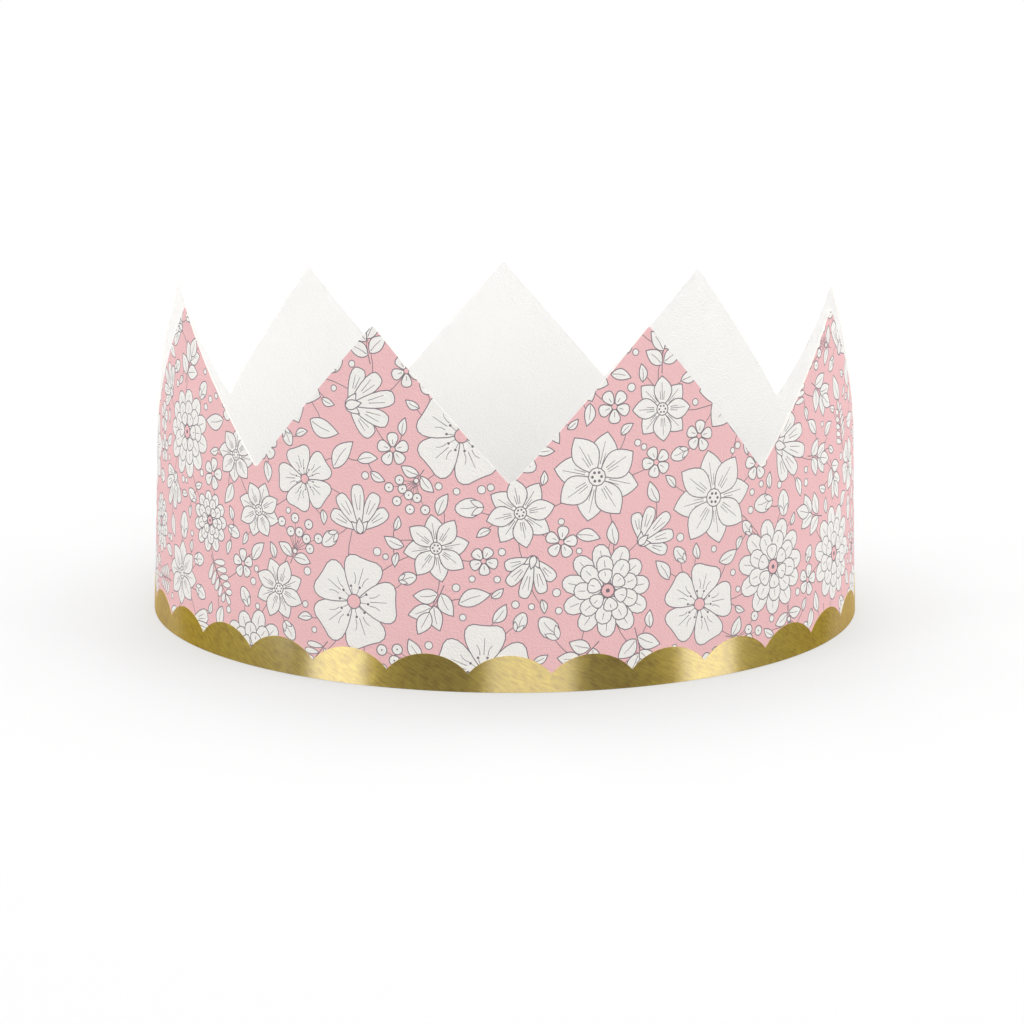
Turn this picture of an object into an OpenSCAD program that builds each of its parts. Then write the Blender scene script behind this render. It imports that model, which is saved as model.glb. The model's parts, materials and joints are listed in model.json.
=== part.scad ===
// Paper birthday crown: one cut card strip rolled into a ring and stuck at the back,
// with a scalloped foil border round its foot. Millimetres, +Z up, front towards -Y,
// origin at the centre of the ring on the surface that the crown stands on.

/* [Ring] */
// Outside diameter of the ring at its bottom edge
ring_d = 180; // [140:1:220]
// Inward lean of the wall, in degrees
lean = 2.5; // [0:0.5:6]
// Thickness of the card
card_t = 0.35; // [0.2:0.05:0.8]

/* [Points] */
// Number of points round the ring
points = 9; // [6:1:12]
// Height of the tips above the bottom edge
tip_h = 79; // [65:0.5:110]
// Height of the valleys between the points
valley_h = 45.4; // [35:0.1:55]
// Rounding of each tip
tip_r = 0.6; // [0.3:0.1:2]
// Rounding of each valley
valley_r = 1; // [0.4:0.1:3]

/* [Seam] */
// Length of the tab that is stuck inside the other end of the strip
tab_l = 18; // [12:1:30]
// Step from the valley down to the top of the tab
tab_drop = 5; // [2:0.5:12]
// Corner cut at the two free corners of the tab
tab_corner = 5; // [1:0.5:8]
// Thickness of the double-sided tape in the seam
tape_t = 0.1; // [0.05:0.01:0.3]
// Clearance on each face of the tape
tape_gap = 0.02; // [0:0.01:0.1]
// Bare margin round the tape on the tab
tape_margin = 2; // [1:0.5:4]

/* [Foil border] */
// Thickness of the foil paper
foil_t = 0.1; // [0.06:0.01:0.3]
// Thickness of the glue film under the foil
glue_t = 0.02; // [0:0.01:0.1]
// Number of scallops round the ring
scallops = 31; // [20:1:40]
// Height of the scallops' tops above the bottom edge
scallop_h = 8.2; // [6:0.1:14]
// Height of the cusps between the scallops
cusp_h = 4.1; // [2:0.1:5]
// Bare stretch that the foil leaves at each end of the strip
foil_end = 0.4; // [0.2:0.1:2]

/* [Hidden] */
$fn = 240;
ring_r = ring_d / 2;
// the wall's radius shrinks with height by the lean
tip_ring_r = ring_r - tip_h * tan(lean);
// the front of the crown is a valley, and the seam is the valley nearest the back
front = -90;
half_point = 180 / points;
seam_turn = 2 * half_point * ceil(points / 2);
seam = front + seam_turn;
// the strip winds in by one layer and the tape: its right side, which ends in the tab, has its own
// centre, a little nearer the front, and a radius smaller by as much, kept to a whole micron
lap_step = card_t + tape_t + 2 * tape_gap;
wind = ceil(1000 * lap_step / (1 - cos(seam_turn))) / 1000;
inner_r = ring_r - wind;
tab_a = tab_l / ring_r * 180 / PI;
tab_h = valley_h - tab_drop;
foil_end_a = foil_end / ring_r * 180 / PI;
// half the angle between the two cut edges at a tip or a valley
edge_a = atan2(tip_ring_r * half_point * PI / 180, tip_h - valley_h);
// each scallop is an arc through two cusps
scallop_a = 360 / scallops;
scallop_w = 2 * ring_r * sin(scallop_a / 2);
scallop_rise = scallop_h - cusp_h;
scallop_r = (scallop_w * scallop_w / 4 + scallop_rise * scallop_rise) / (2 * scallop_rise);
clear = 4;

// leaning wall with outside radius r, thickness t and height h, from the front round by a turn
module wall(r, t, h, turn) {
  rotate([0, 0, front])
    rotate_extrude(angle = turn)
      polygon([[r - t, 0], [r, 0], [r - h * tan(lean), h], [r - t - h * tan(lean), h]]);
}

// moves the right side of the strip onto its own centre
module on_right_centre() {
  translate([0, -wind, 0])
    children();
}

// prism through the wall at angle a, from a depth inside the ring: its profile is drawn
// along the wall and upwards
module through_wall(a, depth) {
  rotate([0, 0, a])
    translate([ring_r - depth, 0, 0])
      rotate([90, 0, 90])
        linear_extrude(depth + clear)
          children();
}

// point on a straight cut edge of the flat strip, at a share k of the way from valley to tip
function edge_at(k) = [tip_ring_r * sin(k * half_point), valley_h + k * (tip_h - valley_h)];

// notch between two points, with its rounded valley
module notch_profile() {
  side = valley_r * cos(edge_a);
  foot = valley_h + valley_r * cos(edge_a) * cos(edge_a) / sin(edge_a);
  mid = edge_at(0.5);
  top = edge_at(1);
  polygon([
    [-side, foot],
    [side, foot],
    mid,
    top,
    [top[0], top[1] + clear],
    [-top[0], top[1] + clear],
    [-top[0], top[1]],
    [-mid[0], mid[1]]
  ]);
  translate([0, valley_h + valley_r / sin(edge_a)])
    circle(valley_r);
}

// what is trimmed from a sharp tip to leave it round
module tip_profile() {
  centre = tip_h - tip_r / sin(edge_a);
  difference() {
    translate([-2 * tip_r, centre + tip_r * sin(edge_a)])
      square([4 * tip_r, clear + 2 * tip_r]);
    translate([0, centre])
      circle(tip_r);
  }
}

// one scallop and the foot below it
module scallop_profile() {
  translate([0, scallop_h - scallop_r])
    circle(scallop_r);
  translate([-0.51 * scallop_w, -clear])
    square([1.02 * scallop_w, clear + cusp_h / 2]);
}

// what is cut away past the seam to leave the tab
module tab_cut_profile() {
  polygon([
    [0, tab_h],
    [tab_l - tab_corner, tab_h],
    [tab_l, tab_h - tab_corner],
    [tab_l, tab_corner],
    [tab_l - tab_corner, 0],
    [tab_l - tab_corner, -clear],
    [2 * tab_l, -clear],
    [2 * tab_l, tip_h + clear],
    [0, tip_h + clear]
  ]);
}

// outline of the tape on the tab, inside the bare margin
module tape_profile() {
  translate([tape_margin, tape_margin])
    square([tab_l - tab_corner - 2 * tape_margin, tab_h - 2 * tape_margin]);
}

// the row of scallops as prisms, all round the ring
module scallop_row() {
  for (i = [0:scallops - 1])
    through_wall(front + scallop_a * i, 2 * clear)
      scallop_profile();
}

// printed card strip: the ring with its points, and the tab under the seam
module crown_card() {
  color("Pink")
    difference() {
      union() {
        wall(ring_r, card_t, tip_h, seam_turn - 360);
        difference() {
          on_right_centre()
            wall(inner_r, card_t, tip_h, seam_turn + 1.2 * tab_a);
          through_wall(seam, ring_r / 2)
            tab_cut_profile();
        }
      }
      for (i = [0:points - 1]) {
        through_wall(front + 2 * half_point * i, ring_r / 2)
          notch_profile();
        through_wall(front + 2 * half_point * (i + 0.5), ring_r / 2)
          tip_profile();
      }
    }
}

// gold foil paper round the outside of the foot, scalloped along its top
module foil_border() {
  color("Gold")
    intersection() {
      union() {
        wall(ring_r + glue_t + foil_t, foil_t, scallop_h + clear, seam_turn - 360 + foil_end_a);
        on_right_centre()
          wall(inner_r + glue_t + foil_t, foil_t, scallop_h + clear, seam_turn - foil_end_a);
      }
      scallop_row();
    }
}

// double-sided tape between the tab and the other end of the strip
module seam_tape() {
  color("WhiteSmoke")
    intersection() {
      on_right_centre()
        wall(inner_r + tape_gap + tape_t, tape_t, tab_h, seam_turn + tab_a);
      through_wall(seam, ring_r / 2)
        tape_profile();
    }
}

crown_card();
foil_border();
seam_tape();
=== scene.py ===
"""Birthday crown: a printed card strip rolled into a ring, with a scalloped foil border.

The sheets are drawn flat in millimetres, as they are printed and cut, and are then
rolled into the ring that the CAD model has. Flat places are given as along (round the
ring from the front, growing towards +X), up (from the foot edge) and out (from the
card's printed face).
"""

import json
import logging
import math
from dataclasses import dataclass, field
from enum import Enum, IntEnum
from typing import Any

import bmesh
import bpy
import numpy as np
from mathutils import Matrix, Quaternion, Vector
from mathutils.geometry import delaunay_2d_cdt

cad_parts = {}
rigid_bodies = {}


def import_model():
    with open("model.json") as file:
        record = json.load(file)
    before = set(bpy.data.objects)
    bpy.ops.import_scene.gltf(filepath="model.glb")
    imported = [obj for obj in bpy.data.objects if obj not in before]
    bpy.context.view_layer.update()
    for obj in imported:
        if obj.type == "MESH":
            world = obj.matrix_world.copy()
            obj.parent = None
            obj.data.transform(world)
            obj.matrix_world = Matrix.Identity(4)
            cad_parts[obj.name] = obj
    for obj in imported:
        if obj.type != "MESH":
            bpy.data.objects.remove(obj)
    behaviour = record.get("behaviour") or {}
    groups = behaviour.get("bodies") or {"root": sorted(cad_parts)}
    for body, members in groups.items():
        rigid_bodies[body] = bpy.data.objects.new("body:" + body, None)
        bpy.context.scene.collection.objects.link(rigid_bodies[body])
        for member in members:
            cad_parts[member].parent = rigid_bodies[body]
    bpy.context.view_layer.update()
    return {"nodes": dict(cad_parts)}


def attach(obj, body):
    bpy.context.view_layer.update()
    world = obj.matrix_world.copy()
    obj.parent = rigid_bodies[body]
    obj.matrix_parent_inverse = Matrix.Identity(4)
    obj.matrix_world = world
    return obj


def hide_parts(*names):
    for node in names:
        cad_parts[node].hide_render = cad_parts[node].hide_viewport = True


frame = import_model()

LOG = logging.getLogger("birthday_crown")
MM = 0.001

# Two flat points closer than the first are one point, and a point closer than the second
# to a bend lies on it, in millimetres.
WELD = 0.004
SNAP = 0.01
# How far beyond the sheet a bend's cutting line runs, in millimetres.
OVERRUN = 1.0
# Two faces that meet at less than this are one flat face.
FLATTEST = math.radians(1)
# Keeps a sharp corner of an outline from moving too far when the outline is drawn further in.
SHARPEST_CORNER = 0.08
# Nearly all values of a noise texture lie between these.
NOISE_LOW = 0.3
NOISE_HIGH = 0.7
# A plant's unevenness goes by these from part to part and from place to place, with no beat.
SWAY_PART = 12.9
SWAY_ALONG = 3.7
SWAY_UP = 7.1

Point = tuple[float, float]
Outline = list[Point]


def linear(code: str) -> tuple[float, float, float, float]:
    """Turns an sRGB hex colour into the linear values that Blender's sockets take.

    Args:
        code: Six hex digits after a #.

    Returns:
        Linear red, green and blue, and a full alpha.
    """
    parts = [int(code.lstrip("#")[i:i + 2], 16) / 255 for i in (0, 2, 4)]
    light = [p / 12.92 if p <= 0.04045 else ((p + 0.055) / 1.055) ** 2.4 for p in parts]
    return light[0], light[1], light[2], 1.0


def add_node(
    tree: bpy.types.NodeTree,
    kind: str,
    inputs: dict[str | int, Any] | None = None,
    **settings: Any,
) -> bpy.types.Node:
    """Adds a node, sets it up and links it.

    Args:
        tree: The node tree that gets the node.
        kind: The node's type name.
        inputs: Socket names or numbers, each with a value or with the output linked to it.
        **settings: The node's own properties.

    Returns:
        The new node.
    """
    made = tree.nodes.new(kind)
    for name, value in settings.items():
        setattr(made, name, value)
    for name, value in (inputs or {}).items():
        if isinstance(value, bpy.types.NodeSocket):
            tree.links.new(value, made.inputs[name])
        else:
            made.inputs[name].default_value = value
    return made


def new_material(name: str) -> bpy.types.Material:
    """Makes a material with an empty node tree.

    Args:
        name: The finish's name.

    Returns:
        The material.
    """
    made = bpy.data.materials.new(name)
    made.use_nodes = True
    made.node_tree.nodes.clear()
    return made


def add_object(name: str, data: bpy.types.ID) -> bpy.types.Object:
    """Puts a mesh, a lamp or a camera into the scene.

    Args:
        name: The object's name.
        data: The mesh, lamp or camera.

    Returns:
        The new object.
    """
    made = bpy.data.objects.new(name, data)
    bpy.context.scene.collection.objects.link(made)
    return made


@dataclass(frozen=True)
class Petal:
    """A round petal that points up from the flower's centre, in shares of the flower's radius.

    foot is its width at the foot as a share of its head's, notch the depth of the dip in its
    head as a share of its length, and dip how much of the head's width that takes up.
    """

    root: float
    reach: float
    half: float
    foot: float = 0.4
    notch: float = 0.0
    steps: int = 12
    dip: float = 0.45

    def edge(self) -> Outline:
        """Draws the petal's edge.

        Returns:
            The edge, anticlockwise.
        """
        outline = []
        for i in range(self.steps):
            angle = math.tau * (i + 0.5) / self.steps
            share = (1 - math.cos(angle)) / 2
            across = self.half * math.sin(angle) * (self.foot + (1 - self.foot) * share)
            sunk = self.notch * math.exp(-((math.sin(angle) / self.dip) ** 2)) if share > 0.5 else 0.0
            outline.append((across, self.root + (self.reach - self.root) * (share - sunk)))
        return outline


@dataclass(frozen=True)
class Blade:
    """A leaf or petal with a pointed foot and tip, in shares of the plant's radius.

    A belly below 1 is widest near the foot, and above 1 near the tip. Its midrib bows
    aside by its sweep, and a keenness below 1 rounds its foot and tip.
    """

    root: float
    reach: float
    half: float
    belly: float = 1.0
    sweep: float = 0.0
    steps: int = 7
    keenness: float = 0.9

    def rib(self, share: float) -> Point:
        """Gives the place at a share of the midrib's length."""
        return 4 * self.sweep * share * (1 - share), self.root + (self.reach - self.root) * share

    def edge(self) -> Outline:
        """Draws the blade's edge.

        Returns:
            The edge, anticlockwise.
        """
        right, left = [], []
        for i in range(1, self.steps):
            share = i / self.steps
            across = self.half * math.sin(math.pi * share ** self.belly) ** self.keenness
            middle, up = self.rib(share)
            right.append((middle + across, up))
            left.append((middle - across, up))
        return [self.rib(0.0), *right, self.rib(1.0), *reversed(left)]


@dataclass(frozen=True)
class Dot:
    """A round spot, in shares of the plant's radius."""

    half: float
    steps: int = 9

    def edge(self) -> Outline:
        """Draws the spot's edge, anticlockwise."""
        turns = [math.tau * i / self.steps for i in range(self.steps)]
        return [(self.half * math.cos(a), self.half * math.sin(a)) for a in turns]


def polar(reach: float, turn: float) -> Point:
    """Gives the point at a distance from the centre, with the turn clockwise from upright."""
    return reach * math.sin(turn), reach * math.cos(turn)


def turned(outline: Outline, turn: float, move: Point = (0.0, 0.0)) -> Outline:
    """Turns an outline clockwise about the centre, then moves it.

    Args:
        outline: The points.
        turn: The angle in radians.
        move: How far it then moves.

    Returns:
        The points in their new places.
    """
    c, s = math.cos(turn), math.sin(turn)
    return [(x * c + y * s + move[0], y * c - x * s + move[1]) for x, y in outline]


def inset(outline: Outline, depth: float) -> Outline:
    """Draws an anticlockwise outline again, further in.

    Args:
        outline: The outer points.
        depth: How far in the new outline lies.

    Returns:
        The inner points, one for each outer one.
    """
    moved = []
    for i, here in enumerate(outline):
        before = (Vector(here) - Vector(outline[i - 1])).normalized()
        after = (Vector(outline[(i + 1) % len(outline)]) - Vector(here)).normalized()
        inward = Vector((-before.y - after.y, before.x + after.x)) / 2
        shift = inward * depth / max(inward.length_squared, SHARPEST_CORNER)
        moved.append((here[0] + shift.x, here[1] + shift.y))
    return moved


def bow(start: Point, end: Point, sag: float, steps: int) -> Outline:
    """Draws an open curve that bows to one side.

    Args:
        start: The first point.
        end: The last point.
        sag: How far the curve's control point stands to the side, as a share of its length.
        steps: The number of straight runs.

    Returns:
        The points from start to end.
    """
    run = Vector(end) - Vector(start)
    control = Vector(start) + run / 2 + Vector((-run.y, run.x)) * sag
    path = []
    for i in range(steps + 1):
        t = i / steps
        spot = Vector(start) * (1 - t) ** 2 + control * 2 * t * (1 - t) + Vector(end) * t ** 2
        path.append((spot.x, spot.y))
    return path


def tapered(path: Outline, width: float, taper: float = 0.35) -> Outline:
    """Draws the edge of a thin line along a path, narrower at its far end.

    Args:
        path: The points in order.
        width: The line's width at its start.
        taper: The share of its width that it loses on the way.

    Returns:
        The line's edge.
    """
    left, right = [], []
    for i, here in enumerate(path):
        run = Vector(path[min(i + 1, len(path) - 1)]) - Vector(path[max(i - 1, 0)])
        run.normalize()
        half = width / 2 * (1 - taper * i / (len(path) - 1))
        left.append((here[0] - run.y * half, here[1] + run.x * half))
        right.append((here[0] + run.y * half, here[1] - run.x * half))
    return right + left[::-1]


def inside(outline: Outline, places: np.ndarray) -> np.ndarray:
    """Tells which places lie inside an outline.

    Args:
        outline: The outline's points in order.
        places: One row of flat coordinates for each place.

    Returns:
        True for each place inside.
    """
    here = np.asarray(outline)
    there = np.roll(here, -1, axis=0)
    rise = there[:, 1] - here[:, 1]
    slope = (there[:, 0] - here[:, 0]) / np.where(rise == 0, 1.0, rise)
    along, up = places[:, :1], places[:, 1:2]
    crosses = (here[:, 1] > up) != (there[:, 1] > up)
    right = along < here[:, 0] + (up - here[:, 1]) * slope
    return (crosses & right).sum(axis=1) % 2 == 1


class Ink(IntEnum):
    """What shows at a place on the card, as its material slot."""

    GROUND = 0
    PAPER = 1
    LINE = 2
    CUT_EDGE = 3
    BARE_BACK = 4


# Flat outlines with what fills them, in the order they are printed, later ones on top.
Printed = list[tuple[Outline, Ink]]


class Motif(Enum):
    """The plants that the print is made of."""

    ROSETTE = "rosette"
    WILD_ROSE = "wild rose"
    CLEMATIS = "clematis"
    SPRIG = "sprig"
    BERRY_SPRAY = "berry spray"
    FERN = "fern"
    FAN = "fan-shaped flower"
    BLOSSOM = "blossom"
    BUD = "bud"
    LEAF = "leaf"
    BERRY = "berry"


@dataclass(frozen=True)
class Roll:
    """How a flat strip is rolled into the crown, in millimetres and degrees."""

    radius: float = 90.0
    lean: float = 2.5
    wind: float = 0.253

    def place(self, along: float, up: float, out: float) -> Vector:
        """Takes a place on the flat strip to the crown.

        The side towards +X is wound a little tighter, so that its tab lies inside the
        other end where the two lap.

        Args:
            along: Millimetres round the ring from the front.
            up: Millimetres above the foot edge.
            out: Millimetres out of the card's printed face.

        Returns:
            The place in metres.
        """
        turn = along / self.radius
        reach = self.radius - up * math.tan(math.radians(self.lean)) + out
        if turn > 0:
            reach -= self.wind
            aside = self.wind * math.sin(turn)
            reach = self.wind * math.cos(turn) + math.sqrt(reach * reach - aside * aside)
        return Vector((reach * math.sin(turn), -reach * math.cos(turn), up)) * MM

    def facing(self, places: np.ndarray, lift: float) -> np.ndarray:
        """Gives the direction that the rolled card faces.

        Args:
            places: One row of coordinates for each point.
            lift: How many degrees further up it faces.

        Returns:
            One unit vector for each point, square to the leaning wall.
        """
        flat = places[:, :2] / np.linalg.norm(places[:, :2], axis=1, keepdims=True)
        lean = math.radians(self.lean + lift)
        return np.column_stack([flat * math.cos(lean), np.full(len(flat), math.sin(lean))])


@dataclass(frozen=True)
class PaperStock:
    """Uncoated card: matt, faintly toothed by its felt, with a slightly uneven gloss.

    The tooth of real card is finer than a pixel, so it is drawn as coarse as it needs to
    show. smoother and rougher say how far its roughness strays either way.
    """

    name: str
    colour: str
    roughness: float = 0.72
    specular: float = 0.3
    tooth_mm: float = 0.45
    fibre_mm: float = 2.2
    tooth_depth_mm: float = 0.18
    smoother: float = 0.06
    rougher: float = 0.08

    def material(self) -> bpy.types.Material:
        """Makes the card's surface, whose tooth catches the light as a fine even speckle.

        Returns:
            The material, on Object coordinates.
        """
        made = new_material(self.name)
        tree = made.node_tree
        place = add_node(tree, "ShaderNodeTexCoord").outputs["Object"]
        tooth = add_node(
            tree, "ShaderNodeTexNoise",
            {"Vector": place, "Scale": 1 / (self.tooth_mm * MM), "Detail": 2.0, "Roughness": 0.6},
        )
        fibre = add_node(
            tree, "ShaderNodeTexNoise",
            {"Vector": place, "Scale": 1 / (self.fibre_mm * MM), "Detail": 3.0, "Distortion": 0.6},
        )
        gloss = add_node(
            tree, "ShaderNodeMapRange",
            {
                "Value": fibre.outputs["Fac"], "From Min": NOISE_LOW, "From Max": NOISE_HIGH,
                "To Min": self.roughness - self.smoother, "To Max": self.roughness + self.rougher,
            },
        )
        bump = add_node(
            tree, "ShaderNodeBump",
            {"Height": tooth.outputs["Fac"], "Strength": 1.0, "Distance": self.tooth_depth_mm * MM},
        )
        shader = add_node(
            tree, "ShaderNodeBsdfPrincipled",
            {
                "Base Color": linear(self.colour), "Roughness": gloss.outputs["Result"],
                "Specular IOR Level": self.specular, "Normal": bump.outputs["Normal"],
            },
        )
        add_node(tree, "ShaderNodeOutputMaterial", {"Surface": shader.outputs["BSDF"]})
        return made


@dataclass(frozen=True)
class BrushedFoil:
    """Gold metallised paper: fine slanted brushing under a clear lacquer.

    The brushing spreads its highlights into upright bands, and the lacquer pales them. The
    strokes of real foil are finer than a pixel, so they are drawn as coarse as they need to
    show. tint_span is where between dark and bright a stroke's colour lies, mottle_share how
    much of it is cloudy and not stroked, and stretch how far the brushing spreads a highlight.
    """

    name: str = "gold_metallised_paper"
    dark: str = "#846A1C"
    bright: str = "#A9932F"
    roughness: float = 0.315
    unevenness: float = 0.012
    slant: float = -30.0
    line_mm: float = 0.42
    line_run_mm: float = 2.4
    mottle_mm: float = 2.4
    line_depth_mm: float = 0.014
    line_strength: float = 0.6
    mottle_share: float = 0.35
    tint_span: tuple[float, float] = (0.36, 0.64)
    stretch: float = 0.89
    quarter_turn: float = 0.25
    glance: str = "#FFE080"
    lacquer: float = 0.3
    lacquer_roughness: float = 0.15
    lacquer_ior: float = 4.0

    def material(self, flat_map: str) -> bpy.types.Material:
        """Makes the foil, whose brushing follows the strip.

        Args:
            flat_map: The name of the UV map that holds the flat strip in metres.

        Returns:
            The material.
        """
        made = new_material(self.name)
        tree = made.node_tree
        flat = add_node(tree, "ShaderNodeUVMap", uv_map=flat_map).outputs["UV"]
        brushed = add_node(
            tree, "ShaderNodeMapping",
            {
                "Vector": flat, "Rotation": (0.0, 0.0, math.radians(self.slant)),
                "Scale": (self.line_run_mm * MM, self.line_mm * MM, 1.0),
            },
            vector_type="TEXTURE",
        )
        lines = add_node(
            tree, "ShaderNodeTexNoise",
            {
                "Vector": brushed.outputs["Vector"], "Scale": 1.0, "Detail": 3.0, "Roughness": 0.65,
                "Distortion": 0.5,
            },
        )
        mottle = add_node(
            tree, "ShaderNodeTexNoise",
            {"Vector": flat, "Scale": 1 / (self.mottle_mm * MM), "Detail": 4.0, "Roughness": 0.6},
        )
        both = add_node(
            tree, "ShaderNodeMix",
            {"Factor": self.mottle_share, "A": lines.outputs["Fac"], "B": mottle.outputs["Fac"]},
            data_type="FLOAT",
        )
        tint = add_node(tree, "ShaderNodeValToRGB", {"Fac": both.outputs["Result"]})
        for stop, place, colour in zip(tint.color_ramp.elements, self.tint_span, (self.dark, self.bright)):
            stop.position = place
            stop.color = linear(colour)
        gloss = add_node(
            tree, "ShaderNodeMapRange",
            {
                "Value": mottle.outputs["Fac"], "From Min": NOISE_LOW, "From Max": NOISE_HIGH,
                "To Min": self.roughness - self.unevenness, "To Max": self.roughness + self.unevenness,
            },
        )
        bump = add_node(
            tree, "ShaderNodeBump",
            {
                "Height": lines.outputs["Fac"], "Strength": self.line_strength,
                "Distance": self.line_depth_mm * MM,
            },
        )
        tangent = add_node(tree, "ShaderNodeTangent", direction_type="UV_MAP", uv_map=flat_map)
        shader = add_node(
            tree, "ShaderNodeBsdfPrincipled",
            {
                "Base Color": tint.outputs["Color"], "Metallic": 1.0,
                "Roughness": gloss.outputs["Result"], "Specular Tint": linear(self.glance),
                "Anisotropic": self.stretch, "Anisotropic Rotation": self.quarter_turn,
                "Coat Weight": self.lacquer, "Coat Roughness": self.lacquer_roughness,
                "Coat IOR": self.lacquer_ior,
                "Normal": bump.outputs["Normal"], "Tangent": tangent.outputs["Tangent"],
            },
        )
        add_node(tree, "ShaderNodeOutputMaterial", {"Surface": shader.outputs["BSDF"]})
        return made


@dataclass
class Plant:
    """One plant of the print, in thin line at its place on the strip.

    Its centre, its radius and the pens' widths, line and fine, are in millimetres, and
    parent is the centre of the plant that it grows from. It is drawn upright in shares of
    its radius, and then gets its turn. A shape whose line takes up more than filled of its
    half width has no fill.
    """

    along: float
    up: float
    radius: float
    motif: Motif
    turn: float
    parent: Point | None
    line: float = 0.22
    fine: float = 0.16
    filled: float = 0.8
    shapes: Printed = field(default_factory=list)

    def clear(self, along: float, up: float) -> float:
        """Gives how far a place lies from the plant's edge."""
        return math.hypot(self.along - along, self.up - up) - self.radius

    def sway(self, part: int) -> float:
        """Gives a part of the plant its own unevenness from -1 to 1, as a hand draws it."""
        return math.sin(SWAY_PART * part + SWAY_ALONG * self.along + SWAY_UP * self.up)

    def lay(self, outline: Outline) -> Outline:
        """Takes points in shares of the plant's radius to their places on the strip."""
        scaled = [(x * self.radius, y * self.radius) for x, y in outline]
        return turned(scaled, self.turn, (self.along, self.up))

    def outlined(
        self,
        shape: Petal | Blade | Dot,
        turn: float = 0.0,
        move: Point = (0.0, 0.0),
        ink: Ink = Ink.PAPER,
        line: float | None = None,
    ) -> None:
        """Adds a shape with a line round it.

        Args:
            shape: The shape.
            turn: How far it is turned about the plant's centre.
            move: How far it is then moved, in shares of the plant's radius.
            ink: What fills it.
            line: The line's width, or None for the usual one.
        """
        width = (line or self.line) / self.radius
        edge = shape.edge()
        self.shapes.append((self.lay(turned(edge, turn, move)), Ink.LINE))
        if width < self.filled * shape.half:
            self.shapes.append((self.lay(turned(inset(edge, width), turn, move)), ink))

    def dot(self, centre: Point, half: float, steps: int = 6) -> None:
        """Adds a small dot of line ink."""
        self.shapes.append((self.lay(turned(Dot(half, steps).edge(), 0.0, centre)), Ink.LINE))

    def stroke(self, path: Outline, width: float | None = None) -> None:
        """Adds a line along a path, of the fine pen's width unless another is given."""
        self.shapes.append((tapered(self.lay(path), width or self.fine), Ink.LINE))

    def veined(self, leaf: Blade, turn: float = 0.0, move: Point = (0.0, 0.0)) -> None:
        """Adds a leaf with its midrib.

        Args:
            leaf: The leaf.
            turn: How far it is turned about the plant's centre.
            move: How far it is then moved, in shares of the plant's radius.
        """
        self.outlined(leaf, turn, move)
        self.stroke(turned([leaf.rib(share) for share in (0.1, 0.4, 0.7)], turn, move))

    def draw(self) -> Printed:
        """Draws the plant.

        Returns:
            Its shapes on the strip.
        """
        makers = {
            Motif.ROSETTE: self.rosette, Motif.WILD_ROSE: self.wild_rose, Motif.CLEMATIS: self.clematis,
            Motif.SPRIG: self.sprig, Motif.BERRY_SPRAY: self.berry_spray, Motif.FERN: self.fern,
            Motif.FAN: self.fan, Motif.BLOSSOM: self.blossom, Motif.BUD: self.bud,
            Motif.LEAF: self.leaf, Motif.BERRY: self.berry,
        }
        makers[self.motif]()
        return self.shapes

    def rosette(self) -> None:
        """Draws a full flower of three rings of petals round a small button."""
        rings = ((11, 1.0, 0.29, 15), (9, 0.74, 0.26, 13), (6, 0.47, 0.23, 11))
        for ring, (count, reach, half, steps) in enumerate(rings):
            for i in range(count):
                turn = math.tau * (i + 0.5 * (ring % 2) + 0.07 * self.sway(i)) / count
                long = reach * (1 + 0.05 * self.sway(i + 5))
                self.outlined(Petal(0.14, long, half, 0.45, 0.0, steps), turn)
                self.stroke([polar(long * 0.66, turn), polar(long * 0.86, turn)])
        self.outlined(Dot(0.16, 12), ink=Ink.GROUND)
        self.dot((0.0, 0.0), 0.05)

    def wild_rose(self) -> None:
        """Draws an open flower of five broad notched petals with a ring of stamens."""
        for i in range(5):
            turn = math.tau * i / 5 + 0.06 * self.sway(i)
            broad = 0.58 + 0.03 * self.sway(i + 5)
            self.outlined(Petal(0.06, 1.0 + 0.04 * self.sway(i + 9), broad, 0.3, 0.11, 22), turn)
            for side in (-0.24, 0.0, 0.24):
                tip = polar(0.68 - abs(side) * 0.5, turn + side * 1.2)
                self.stroke(bow(polar(0.34, turn + side), tip, side, 3))
        for i in range(10):
            turn = math.tau * (i + 0.3) / 10
            self.stroke([polar(0.13, turn), polar(0.28, turn)])
            self.dot(polar(0.3, turn), 0.03, 5)
        self.outlined(Dot(0.15, 12), ink=Ink.GROUND)

    def clematis(self) -> None:
        """Draws a flower of eight pointed petals in two layers, each with three ribs."""
        for layer in (0.5, 0.0):
            for i in range(4):
                turn = math.tau * (i + layer) / 4 + 0.05 * self.sway(i)
                self.outlined(Blade(0.04, 1.0 + 0.05 * self.sway(i + 4), 0.31, 1.1, 0.03, 9), turn)
                for side in (-0.15, 0.0, 0.15):
                    tip = polar(0.76 - abs(side) * 1.6, turn + side * 0.9)
                    self.stroke([polar(0.27, turn + side * 1.2), tip])
        self.outlined(Dot(0.2, 12))
        for i in range(6):
            self.dot(polar(0.1, math.tau * i / 6), 0.035, 5)

    def sprig(self) -> None:
        """Draws a twig with two pairs of leaves and one at its tip."""
        self.stroke(bow((0.0, -1.0), (0.0, 0.3), 0.05, 4), self.line)
        places = ((-0.62, 1.0), (-0.7, -1.0), (-0.12, 0.72), (-0.2, -0.72), (0.08, 0.0))
        for i, (foot, turn) in enumerate(places):
            sweep = math.copysign(0.06, -turn) if turn else 0.0
            self.veined(Blade(0.02, 0.94 + 0.05 * self.sway(i), 0.29, 0.85, sweep, 8), turn, (0.0, foot))

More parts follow.
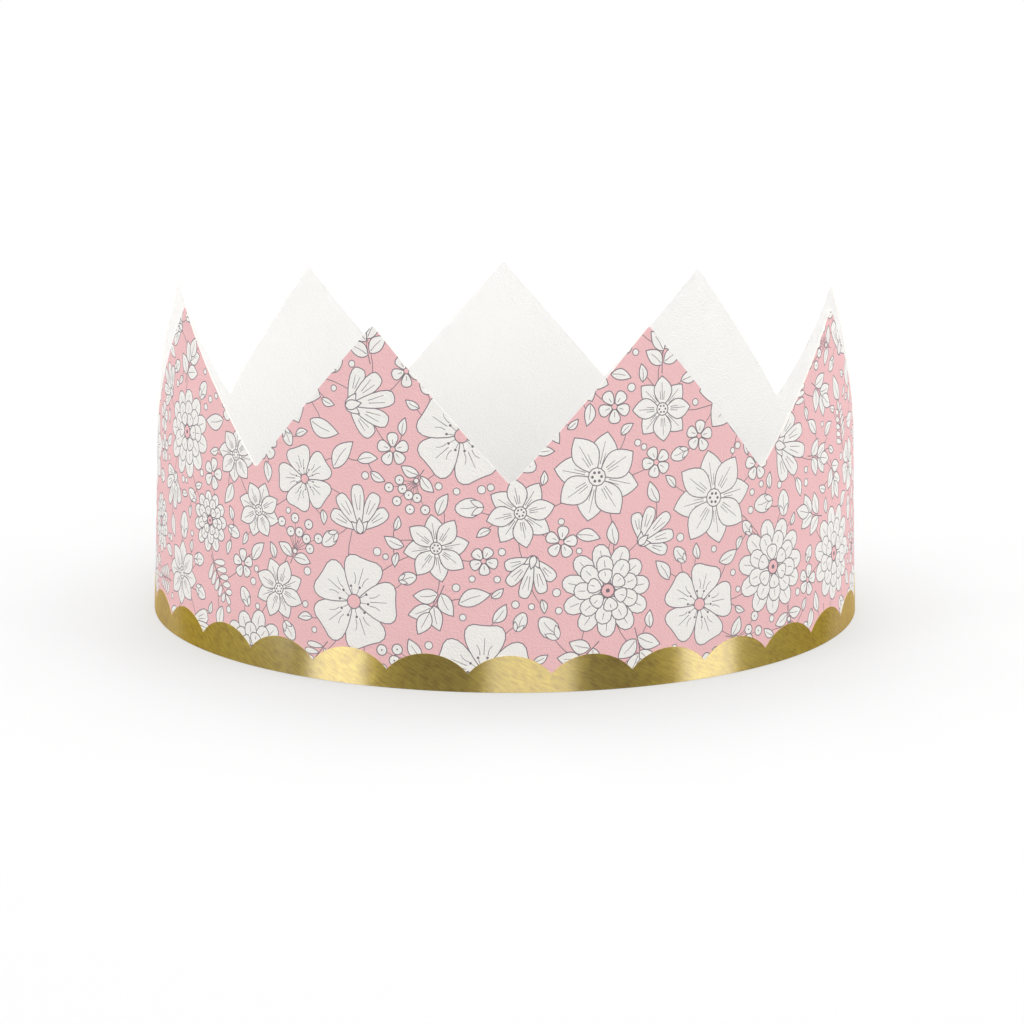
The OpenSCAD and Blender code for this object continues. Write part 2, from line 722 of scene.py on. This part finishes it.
    def berry_spray(self) -> None:
        """Draws round berries on thin stalks, which meet in a small calyx above a pair of leaves."""
        fork = (0.0, -0.45)
        self.stroke([(0.0, -1.0), fork], self.line)
        for i in range(8):
            long = (0.72 if i % 2 else 1.22) + 0.06 * self.sway(i)
            head = turned([(0.0, long)], (i - 3.5) * 0.27, fork)[0]
            self.stroke(bow(fork, head, 0.03 * (i - 3.5), 3))
            self.outlined(Dot(0.21, 11), move=head)
            self.dot(head, 0.035, 5)
        for side in (-1.0, 1.0):
            self.veined(Blade(0.02, 0.88, 0.24, 0.9, -0.07 * side, 8), side * 1.35, (0.0, -0.72))
        self.outlined(Dot(0.13, 9), move=fork)

    def fern(self) -> None:
        """Draws a frond with five pairs of leaflets that shrink towards its tip."""
        self.stroke([(0.0, -1.0), (0.03, 0.0), (0.0, 0.8)], self.line)
        for i in range(5):
            for side in (-1.0, 1.0):
                leaflet = Petal(0.03, 0.76 - 0.08 * i, 0.16, 0.6, 0.0, 11)
                self.outlined(leaflet, side * 1.02, (0.0, -0.72 + 0.31 * i), line=0.18)
        self.outlined(Petal(0.62, 1.06, 0.15, 0.6, 0.0, 11), line=0.18)

    def fan(self) -> None:
        """Draws a flower from the side: petals that fan out of a round calyx."""
        foot = (0.0, -0.62)
        for i, turn in enumerate((-1.02, 1.02, -0.52, 0.52, 0.0)):
            long = (1.2 if i < 2 else 1.42 if i < 4 else 1.58) + 0.05 * self.sway(i)
            self.outlined(Petal(0.04, long, 0.34, 0.3, 0.06, 18), turn, foot)
            for share in (-0.06, 0.06):
                fold = [polar(long * 0.42, share), polar(long * 0.74, share * 1.5)]
                self.stroke(turned(fold, turn, foot))
        for side in (-0.75, 0.75, 0.0):
            self.outlined(Blade(-0.12, 0.44, 0.15, 0.7, 0.0, 6), side, foot)

    def blossom(self) -> None:
        """Draws a small flower of five round petals with a short fold in each."""
        for i in range(5):
            turn = math.tau * i / 5 + 0.08 * self.sway(i)
            self.outlined(Petal(0.08, 1.0 + 0.05 * self.sway(i + 5), 0.53, 0.35, 0.0, 13), turn)
            self.stroke([polar(0.32, turn), polar(0.6, turn)])
        self.outlined(Dot(0.21, 9), ink=Ink.GROUND, line=0.18)

    def bud(self) -> None:
        """Draws a closed bud between two small sepals."""
        self.outlined(Petal(-0.65, 0.98, 0.5, 1.5, 0.0, 13))
        self.stroke(bow((0.1, -0.5), (0.02, 0.6), 0.14, 3))
        for side in (-0.5, 0.5):
            self.outlined(Blade(0.0, 0.98, 0.22, 0.9, 0.0, 5), side, (0.0, -0.88), line=0.17)

    def leaf(self) -> None:
        """Draws a single leaf that curls to one side."""
        self.veined(Blade(-1.05, 1.1, 0.56, 0.85, 0.16 if self.sway(1) > 0 else -0.16, 9))

    def berry(self) -> None:
        """Draws one round berry."""
        self.outlined(Dot(1.0, 10), line=0.18)


@dataclass(frozen=True)
class Tier:
    """Plants of one size, how many there may be, and how far they stand apart."""

    radius: float
    spread: float
    count: int
    gap: float
    motifs: tuple[Motif, ...]


@dataclass
class FloralPrint:
    """A small all-over floral: white plants in thin grey outline on a coloured ground.

    Plants stand on a grid of cells, from the lowest height up. Tiers from packed_from on go
    to the tightest of every few places that they fit, as packing says. A plant within
    stem_reach of another grows from it, out to either side by its lean, on a stem that sags.
    """

    start: float
    end: float
    height: float
    seed: int = 11
    cell: float = 0.5
    lowest: float = 2.0
    open_room: float = 40.0
    room_reach: float = 16.0
    packing: int = 6
    lean: float = 0.5
    stem_sag: float = 0.2
    stem_steps: int = 5
    tiers: tuple[Tier, ...] = (
        Tier(10.9, 0.8, 33, 0.8, (Motif.WILD_ROSE, Motif.ROSETTE, Motif.CLEMATIS)),
        Tier(7.4, 0.7, 50, 0.4, (Motif.CLEMATIS, Motif.WILD_ROSE, Motif.FAN, Motif.ROSETTE)),
        Tier(
            6.0, 0.5, 90, 0.0, (Motif.SPRIG, Motif.FAN, Motif.BERRY_SPRAY, Motif.SPRIG, Motif.FERN),
        ),
        Tier(3.7, 0.3, 200, 0.0, (Motif.BLOSSOM, Motif.LEAF, Motif.BLOSSOM, Motif.BUD)),
        Tier(2.6, 0.3, 400, -0.2, (Motif.LEAF, Motif.LEAF, Motif.BUD)),
        Tier(1.8, 0.2, 300, -0.1, (Motif.LEAF,)),
        Tier(0.9, 0.15, 200, 0.1, (Motif.BERRY,)),
    )
    packed_from: int = 2
    stem_reach: float = 5.0

    def scatter(self) -> list[Plant]:
        """Places the plants, large ones evenly and smaller ones packed into the gaps.

        A grid holds the free room at each place, and every plant takes its share of it.

        Returns:
            The plants, large ones first.
        """
        rng = np.random.default_rng(self.seed)
        alongs, ups = np.meshgrid(
            np.arange(self.start, self.end, self.cell),
            np.arange(self.lowest, self.height, self.cell),
            indexing="ij",
        )
        room = np.full(alongs.shape, self.open_room)
        plants: list[Plant] = []
        for level, tier in enumerate(self.tiers):
            for number in range(tier.count):
                radius = tier.radius + rng.uniform(-tier.spread, tier.spread)
                spare = room - radius - tier.gap
                fits = np.flatnonzero(spare >= 0)
                if not len(fits):
                    break
                if level >= self.packed_from:
                    tightest = np.argsort(spare.flat[fits], kind="stable")
                    fits = fits[tightest[:max(1, len(fits) // self.packing)]]
                pick = rng.choice(fits)
                along, up = float(alongs.flat[pick]), float(ups.flat[pick])
                motif = tier.motifs[number % len(tier.motifs)]
                turn, parent = rng.uniform(0, math.tau), None
                near = min(plants, key=lambda plant: plant.clear(along, up), default=None)
                if near and near.clear(along, up) < radius + self.stem_reach:
                    parent = (near.along, near.up)
                    turn = math.atan2(along - near.along, up - near.up)
                    turn += rng.uniform(-self.lean, self.lean)
                plants.append(Plant(along, up, radius, motif, turn, parent))
                reach = int((radius + self.room_reach) / self.cell)
                row, col = np.unravel_index(pick, room.shape)
                part = (slice(max(0, row - reach), row + reach), slice(max(0, col - reach), col + reach))
                left = np.hypot(alongs[part] - along, ups[part] - up) - radius
                room[part] = np.minimum(room[part], left)
        return plants

    def draw(self) -> Printed:
        """Draws the whole print, stems first and the large flowers last.

        Returns:
            The shapes in printing order.
        """
        plants = self.scatter()
        shapes: Printed = []
        for number, plant in enumerate(plants):
            if plant.parent and plant.motif is not Motif.BERRY:
                sag = self.stem_sag if number % 2 else -self.stem_sag
                stem = bow(plant.parent, (plant.along, plant.up), sag, self.stem_steps)
                shapes.append((tapered(stem, plant.line), Ink.LINE))
        for plant in reversed(plants):
            shapes += plant.draw()
        return shapes


@dataclass
class Sheet:
    """A thin sheet that is cut flat, printed, and rolled into the crown's ring.

    edge_slot and back_slot number the materials of its cut edges and its back. lift is how
    many degrees its shading tips up; the sheet's shape does not change with it.
    """

    name: str
    node: str
    slot: str
    face: float
    back: float
    edge_slot: int
    back_slot: int
    bend: float = 4.0
    lift: float = 0.0
    roll: Roll = Roll()
    flat_map: str = "flat"

    def outline(self) -> Outline:
        """Gives the edge that the sheet is cut to, anticlockwise from its lower left corner."""
        raise NotImplementedError

    def printed(self) -> Printed:
        """Gives the shapes printed on the sheet, none unless a sheet says so."""
        return []

    def materials(self) -> list[bpy.types.Material]:
        """Gives the sheet's materials, in the order of its slots."""
        raise NotImplementedError

    def bends(self) -> list[float]:
        """Finds where along the sheet it bends, close enough to look round.

        Returns:
            The places, in order.
        """
        places = [along for along, _ in self.outline()]
        first, last = math.ceil(min(places) / self.bend), math.floor(max(places) / self.bend)
        return [i * self.bend for i in range(first, last + 1)]

    def holds(self, shape: Outline) -> bool:
        """Tells whether any of a printed shape may fall on the sheet."""
        return True

    def cut_face(self) -> bmesh.types.BMesh:
        """Cuts the printed face out flat, along its edge, its bends and every printed shape.

        The print is an overlay of thousands of outlines, which no mesh operator cuts, so
        the overlay is solved as one planar triangulation. What no ink's edge needs is then
        dissolved.

        Returns:
            A flat mesh at the face's distance, with an ink for each triangle.
        """
        outline = self.outline()
        shapes = [s for s in self.printed() if self.holds(s[0])]
        points: list[Vector] = []
        edges: list[tuple[int, int]] = []
        for loop in [outline] + [shape for shape, _ in shapes]:
            first, count = len(points), len(loop)
            points.extend(Vector(p) for p in loop)
            edges.extend((first + i, first + (i + 1) % count) for i in range(count))
        top = max(up for _, up in outline)
        for along in self.bends():
            edges.append((len(points), len(points) + 1))
            points.extend((Vector((along, -OVERRUN)), Vector((along, top + OVERRUN))))
        places, _, faces, *_ = delaunay_2d_cdt(points, edges, [], 0, WELD, False)
        middles = np.array(places)[np.array(faces)].mean(axis=1)
        inks = np.where(inside(outline, middles), Ink.GROUND, -1)
        order = np.argsort(middles[:, 0])
        alongs = middles[order, 0]
        for shape, ink in shapes:
            low, high = np.min(shape, axis=0), np.max(shape, axis=0)
            near = order[slice(*np.searchsorted(alongs, (low[0], high[0])))]
            ups = middles[near, 1]
            near = near[(ups > low[1]) & (ups < high[1]) & (inks[near] >= 0)]
            inks[near[inside(shape, middles[near])]] = ink
        bm = bmesh.new()
        verts = [bm.verts.new((p.x, p.y, self.face)) for p in places]
        for face, ink in zip(faces, inks.tolist()):
            if ink >= 0:
                bm.faces.new([verts[i] for i in face]).material_index = ink
        bmesh.ops.delete(bm, geom=[v for v in bm.verts if not v.link_faces], context="VERTS")
        for edge in bm.edges:
            a, b = (v.co.x for v in edge.verts)
            edge.seam = abs(a - b) < SNAP and abs(a - self.bend * round(a / self.bend)) < SNAP
        bmesh.ops.dissolve_limit(
            bm, angle_limit=FLATTEST, verts=bm.verts, edges=bm.edges, delimit={"MATERIAL", "SEAM"},
        )
        bmesh.ops.triangulate(bm, faces=bm.faces)
        return bm

    def thicken(self, bm: bmesh.types.BMesh) -> None:
        """Gives the flat face its cut edges and its back.

        Args:
            bm: The printed face.
        """
        side = bm.faces.layers.int.new("side")
        for face in bm.faces:
            face[side] = 1
        rim = [e for e in bm.edges if e.is_boundary]
        wall = bmesh.ops.extrude_edge_only(bm, edges=rim)["geom"]
        backs = [g for g in wall if isinstance(g, bmesh.types.BMVert)]
        for v in backs:
            v.co.z = self.back
        for face in (g for g in wall if isinstance(g, bmesh.types.BMFace)):
            face.material_index = self.edge_slot
            face[side] = 0
        columns: dict[int, list[bmesh.types.BMVert]] = {}
        for v in backs:
            nearest = round(v.co.x / self.bend)
            if abs(v.co.x - nearest * self.bend) < SNAP:
                columns.setdefault(nearest, []).append(v)
        rim = [e for e in bm.edges if e.is_boundary]
        rest = bmesh.ops.edgeloop_fill(bm, edges=rim, mat_nr=self.back_slot)["faces"][0]
        panels = []
        for _, column in sorted(columns.items()):
            ends = min(column, key=lambda v: v.co.y), max(column, key=lambda v: v.co.y)
            other, _ = bmesh.utils.face_split(rest, *ends)
            panels.append(min(rest, other, key=lambda f: f.calc_center_median().x))
            rest = max(rest, other, key=lambda f: f.calc_center_median().x)
        for panel in [*panels, rest]:
            panel[side] = -1
        bmesh.ops.triangulate(bm, faces=[*panels, rest])

    def build(self) -> bpy.types.Object:
        """Cuts, thickens and rolls the sheet, and puts it in the CAD node's place.

        Returns:
            The finished piece.
        """
        bm = self.cut_face()
        self.thicken(bm)
        flat = bm.loops.layers.uv.new(self.flat_map)
        for face in bm.faces:
            for loop in face.loops:
                loop[flat].uv = (loop.vert.co.x * MM, loop.vert.co.y * MM)
        for v in bm.verts:
            v.co = self.roll.place(*v.co)
        bmesh.ops.recalc_face_normals(bm, faces=bm.faces)
        mesh = bpy.data.meshes.new(self.name)
        bm.to_mesh(mesh)
        bm.free()
        for made in self.materials():
            mesh.materials.append(made)
        self.smooth(mesh)
        piece = add_object(self.name, mesh)
        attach(piece, "root")
        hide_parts(self.node)
        LOG.info("%s: %d triangles", self.name, sum(len(p.vertices) - 2 for p in mesh.polygons))
        return piece

    def smooth(self, mesh: bpy.types.Mesh) -> None:
        """Shades the face and the back as the true curve, and keeps the cut edges crisp.

        Args:
            mesh: The rolled sheet, with its faces' sides in an attribute.
        """
        places = np.zeros(len(mesh.vertices) * 3)
        mesh.vertices.foreach_get("co", places)
        facing = self.roll.facing(places.reshape(-1, 3), self.lift)
        corner_verts = np.zeros(len(mesh.loops), dtype=np.int32)
        mesh.loops.foreach_get("vertex_index", corner_verts)
        sides = np.zeros(len(mesh.polygons), dtype=np.int32)
        mesh.attributes["side"].data.foreach_get("value", sides)
        totals = np.zeros(len(mesh.polygons), dtype=np.int32)
        mesh.polygons.foreach_get("loop_total", totals)
        flats = np.zeros(len(mesh.polygons) * 3)
        mesh.polygons.foreach_get("normal", flats)
        corner_sides = np.repeat(sides, totals)[:, None]
        corner_flats = np.repeat(flats.reshape(-1, 3), totals, axis=0)
        normals = np.where(corner_sides == 0, corner_flats, facing[corner_verts] * corner_sides)
        mesh.polygons.foreach_set("use_smooth", np.ones(len(mesh.polygons), dtype=bool))
        mesh.normals_split_custom_set(normals.tolist())
        mesh.attributes.remove(mesh.attributes["side"])


@dataclass
class CrownCard(Sheet):
    """The printed card strip with nine points and a glue tab."""

    name: str = "printed_crown"
    node: str = "crown_card"
    slot: str = "printed_card"
    face: float = 0.0
    back: float = -0.35
    edge_slot: int = Ink.CUT_EDGE
    back_slot: int = Ink.BARE_BACK
    points: int = 9
    tip_h: float = 79.0
    valley_h: float = 45.4
    tip_r: float = 0.6
    valley_r: float = 1.0
    corner_steps: int = 4
    front_points: int = 4
    tab_l: float = 18.0
    tab_h: float = 40.4
    tab_corner: float = 5.0
    ground: PaperStock = PaperStock("pink_ink_on_card", "#ECBDBF")
    paper: PaperStock = PaperStock("bare_white_card", "#F1EEEA")
    line: PaperStock = PaperStock("grey_line_ink", "#786E73", tooth_depth_mm=0.01)
    # The cut edge is greyer than the card, partly for its open fibres and partly as painted shade that
    # keeps its brightly lit top edges from going white.
    edge: PaperStock = PaperStock("cut_card_edge_and_painted_shade", "#DCD7D0", roughness=0.88, specular=0.1)
    # The bare back is the card's own white, made lighter than the printed side's white as painted light
    # that lifts the shaded inside of the ring.
    inner: PaperStock = PaperStock("white_card_back_and_painted_light", "#F8F7F5", roughness=0.8, specular=0.2)

    @property
    def pitch(self) -> float:
        """The distance along the strip from one valley to the next."""
        return math.tau * self.roll.radius / self.points

    @property
    def ends(self) -> Point:
        """Where the strip starts and where it ends, without its tab."""
        return -self.front_points * self.pitch, (self.points - self.front_points) * self.pitch

    def top(self, along: float) -> float:
        """Gives the height of the zigzag edge at a place along the strip."""
        share = abs((along / self.pitch) % 1 - 0.5) * 2
        return self.tip_h + (self.valley_h - self.tip_h) * share

    def outline(self) -> Outline:
        """Cuts the strip's edge and rounds its tips and valleys as the die does.

        Returns:
            The edge, anticlockwise.
        """
        start, end = self.ends
        tab_end = end + self.tab_l
        foot = self.tab_corner
        corners = [(start, 0.0), (tab_end - foot, 0.0), (tab_end, foot), (tab_end, self.tab_h - foot)]
        corners += [(tab_end - foot, self.tab_h), (end, self.tab_h)]
        bm = bmesh.new()
        verts = [bm.verts.new((x, y, 0.0)) for x, y in corners]
        tips, valleys = [], []
        for i in range(2 * self.points + 1):
            tip = i % 2 == 1
            made = bm.verts.new((end - i * self.pitch / 2, self.tip_h if tip else self.valley_h, 0.0))
            verts.append(made)
            if tip:
                tips.append(made)
            elif 0 < i < 2 * self.points:
                valleys.append(made)
        bm.faces.new(verts)
        slope = (self.tip_h - self.valley_h) / (self.pitch / 2)
        for found, radius in ((tips, self.tip_r), (valleys, self.valley_r)):
            bmesh.ops.bevel(
                bm, geom=found, affect="VERTICES", offset=radius * slope, offset_type="OFFSET",
                segments=self.corner_steps, profile=0.5, material=-1,
            )
        bm.faces.ensure_lookup_table()
        edge = [(v.co.x, v.co.y) for v in bm.faces[0].verts]
        bm.free()
        return edge

    def printed(self) -> Printed:
        """Draws the floral print over the whole strip."""
        start, end = self.ends
        return FloralPrint(start, end, self.tip_h).draw()

    def holds(self, shape: Outline) -> bool:
        """Tells whether any of a printed shape lies below the zigzag edge and above the foot."""
        return any(0 < up < self.top(along) for along, up in shape)

    def materials(self) -> list[bpy.types.Material]:
        """Makes the three printed finishes, the cut edge and the bare back."""
        return [s.material() for s in (self.ground, self.paper, self.line, self.edge, self.inner)]


@dataclass
class FoilBorder(Sheet):
    """The scalloped strip of gold foil along the crown's foot."""

    name: str = "scalloped_foil"
    node: str = "foil_border"
    slot: str = "gold_foil"
    face: float = 0.12
    back: float = 0.02
    edge_slot: int = 1
    back_slot: int = 1
    bend: float = 1.5
    lift: float = 20.0
    scallops: int = 31
    top_h: float = 8.2
    cusp_h: float = 4.1
    start_turn: float = -160.0
    end_turn: float = 200.0
    end_gap: float = 0.4
    steps: int = 14
    finish: BrushedFoil = BrushedFoil()
    paper: PaperStock = PaperStock("foil_backing_paper", "#D8C48A")

    def outline(self) -> Outline:
        """Cuts the border's lower edge straight and its upper edge in round scallops.

        Returns:
            The edge, anticlockwise.
        """
        pitch = math.tau * self.roll.radius / self.scallops
        rise = self.top_h - self.cusp_h
        radius = (pitch * pitch / 4 + rise * rise) / (2 * rise)
        first = math.radians(self.start_turn) * self.roll.radius + self.end_gap
        last = math.radians(self.end_turn) * self.roll.radius - self.end_gap
        edge = [(first, 0.0), (last, 0.0)]
        cells = range(math.floor(first / pitch * self.steps) + 1, math.ceil(last / pitch * self.steps))
        for along in [last, *(pitch * i / self.steps for i in reversed(cells)), first]:
            aside = along - pitch * round(along / pitch)
            edge.append((along, self.top_h - radius + math.sqrt(radius * radius - aside * aside)))
        return edge

    def materials(self) -> list[bpy.types.Material]:
        """Makes the foil and the paper under it."""
        return [self.finish.material(self.flat_map), self.paper.material()]


@dataclass
class SeamTape:
    """The strip of clear adhesive between the two lapped ends, kept as its CAD solid."""

    node: str = "seam_tape"
    finish: PaperStock = PaperStock("double_sided_tape", "#EFEBDD", roughness=0.35, tooth_mm=0.8)

    def dress(self) -> bpy.types.Object:
        """Gives the CAD node its finish.

        Returns:
            The node's object.
        """
        piece = frame["nodes"][self.node]
        piece.data.materials.clear()
        piece.data.materials.append(self.finish.material())
        LOG.info("%s: dressed", self.node)
        return piece


@dataclass(frozen=True)
class Softbox:
    """A flat diffused lamp that faces the crown, in degrees and metres.

    level is how bright its face is, where 1 is white, and tilt turns it in its own plane.
    """

    name: str
    azimuth: float
    elevation: float
    distance: float
    width: float
    height: float
    level: float
    tilt: float = 0.0

    def light(self, target: Vector) -> bpy.types.Object:
        """Sets up the lamp.

        Args:
            target: The point that it faces.

        Returns:
            The lamp.
        """
        lamp = bpy.data.lights.new(self.name, "AREA")
        lamp.shape = "RECTANGLE"
        lamp.size, lamp.size_y = self.width, self.height
        lamp.energy = self.level * math.pi * self.width * self.height
        made = add_object(self.name, lamp)
        turn, rise = math.radians(self.azimuth), math.radians(self.elevation)
        away = Vector((math.sin(turn) * math.cos(rise), -math.cos(turn) * math.cos(rise), math.sin(rise)))
        made.location = target + away * self.distance
        upright = (-away).to_track_quat("-Z", "Y")
        made.rotation_euler = (Quaternion(away, math.radians(self.tilt)) @ upright).to_euler()
        made.visible_camera = False
        return made


@dataclass
class Studio:
    """The pale floor, the soft light and the photograph's camera.

    The camera's lengths are in millimetres and the rest in metres. The floor glows where it
    is seen, by floor_glow at the two distances of glow_reach, and the sky dims from sky_low
    to sky_high between the two heights of horizon.
    """

    floor_colour: str = "#959595"
    floor_glow: tuple[float, float] = (0.42, 0.86)
    glow_reach: tuple[float, float] = (0.3, 2.0)
    floor_reach: float = 12.0
    floor_sides: int = 64
    floor_drop: float = 0.0001
    horizon: tuple[float, float] = (0.055, 0.085)
    sky_low: float = 1.0
    sky_high: float = 0.25
    sun_level: float = 1.5
    sun_spread: float = 70.0
    sun_tilt: float = 8.0
    lamps_aim_h: float = 0.03
    distance: float = 515.3
    eye_h: float = 128.1
    pitch: float = 11.69
    azimuth: float = -0.82
    roll: float = 0.26
    aside: float = 1.6
    lens: float = 71.56
    sensor: float = 36.0
    clip_start: float = 10.0
    boxes: tuple[Softbox, ...] = (
        Softbox("softbox_left", -54.0, 34.0, 1.3, 0.42, 1.60, 2.8),
        Softbox("softbox_front", 7.5, 34.0, 1.3, 0.57, 1.60, 1.75),
        Softbox("softbox_right", 65.0, 34.0, 1.3, 0.42, 1.60, 2.8),
        Softbox("fill_left", -104.0, 21.5, 1.4, 1.70, 0.40, 2.0, 14.0),
        Softbox("fill_right", 110.0, 21.5, 1.4, 1.70, 0.40, 2.0, -14.0),
        Softbox("fill_back_left", -150.0, 58.0, 1.4, 1.20, 0.80, 3.0),
        Softbox("fill_back_right", 150.0, 58.0, 1.4, 1.20, 0.80, 3.0),
    )

    def lay_floor(self) -> None:
        """Lays a pale matt floor, lifted to white where it is seen, that keeps the crown's shadow."""
        bm = bmesh.new()
        bmesh.ops.create_circle(bm, cap_ends=True, segments=self.floor_sides, radius=self.floor_reach)
        bmesh.ops.translate(bm, verts=bm.verts, vec=(0.0, 0.0, -self.floor_drop))
        mesh = bpy.data.meshes.new("floor")
        bm.to_mesh(mesh)
        bm.free()
        made = new_material("pale_matt_floor")
        tree = made.node_tree
        matt = add_node(tree, "ShaderNodeBsdfDiffuse", {"Color": linear(self.floor_colour)})
        ray = add_node(tree, "ShaderNodeLightPath").outputs
        seen = ray["Is Camera Ray"]
        for other in (ray["Is Glossy Ray"], ray["Is Transmission Ray"]):
            seen = add_node(tree, "ShaderNodeMath", {0: seen, 1: other}, operation="MAXIMUM").outputs[0]
        place = add_node(tree, "ShaderNodeTexCoord").outputs["Object"]
        away = add_node(tree, "ShaderNodeVectorMath", {0: place}, operation="LENGTH").outputs["Value"]
        lifted = add_node(
            tree, "ShaderNodeMapRange",
            {
                "Value": away, "From Min": self.glow_reach[0], "From Max": self.glow_reach[1],
                "To Min": self.floor_glow[0], "To Max": self.floor_glow[1],
            },
        )
        level = add_node(
            tree, "ShaderNodeMath", {0: seen, 1: lifted.outputs["Result"]}, operation="MULTIPLY",
        )
        glow = add_node(tree, "ShaderNodeEmission", {"Strength": level.outputs[0]})
        both = add_node(tree, "ShaderNodeAddShader", {0: matt.outputs["BSDF"], 1: glow.outputs["Emission"]})
        add_node(tree, "ShaderNodeOutputMaterial", {"Surface": both.outputs["Shader"]})
        mesh.materials.append(made)
        floor = add_object("floor", mesh)

    def light(self) -> None:
        """Hangs the lamps and sets a sky that is white at the horizon and dimmer above."""
        for box in self.boxes:
            box.light(Vector((0.0, 0.0, self.lamps_aim_h)))
        sun = bpy.data.lights.new("overhead", "SUN")
        sun.energy = self.sun_level
        sun.angle = math.radians(self.sun_spread)
        lamp = add_object("overhead", sun)
        lamp.rotation_euler = (math.radians(self.sun_tilt), 0.0, 0.0)
        world = bpy.data.worlds.new("studio_sky")
        world.use_nodes = True
        tree = world.node_tree
        tree.nodes.clear()
        way = add_node(tree, "ShaderNodeTexCoord").outputs["Generated"]
        height = add_node(tree, "ShaderNodeSeparateXYZ", {"Vector": way}).outputs["Z"]
        level = add_node(
            tree, "ShaderNodeMapRange",
            {
                "Value": height, "From Min": self.horizon[0], "From Max": self.horizon[1],
                "To Min": self.sky_low, "To Max": self.sky_high,
            },
        )
        shade = add_node(
            tree, "ShaderNodeBackground", {"Color": linear("#FFFFFF"), "Strength": level.outputs["Result"]},
        )
        add_node(tree, "ShaderNodeOutputWorld", {"Surface": shade.outputs["Background"]})
        bpy.context.scene.world = world

    def set_camera(self) -> None:
        """Puts the camera where the photograph was taken from."""
        data = bpy.data.cameras.new("photo_camera")
        data.lens = self.lens
        data.sensor_width = self.sensor
        data.clip_start = self.clip_start * MM
        camera = add_object("photo_camera", data)
        turn = Matrix.Rotation(math.radians(self.azimuth), 4, "Z")
        tilt = Matrix.Rotation(math.radians(90 - self.pitch), 4, "X")
        rolled = Matrix.Rotation(math.radians(self.roll), 4, "Z")
        stand = Matrix.Translation(Vector((self.aside, -self.distance, self.eye_h)) * MM)
        camera.matrix_world = turn @ stand @ tilt @ rolled
        bpy.context.scene.camera = camera

    def build(self) -> None:
        """Sets up the floor, the lamps, the camera and plain colours."""
        self.lay_floor()
        self.light()
        self.set_camera()
        bpy.context.scene.view_settings.view_transform = "Standard"
        LOG.info("studio: %d softboxes", len(self.boxes))


def main() -> None:
    """Builds the crown's pieces and the studio."""
    logging.basicConfig(level=logging.INFO, format="%(name)s: %(message)s")
    CrownCard().build()
    FoilBorder().build()
    SeamTape().dress()
    Studio().build()


if __name__ == "__main__":
    main()
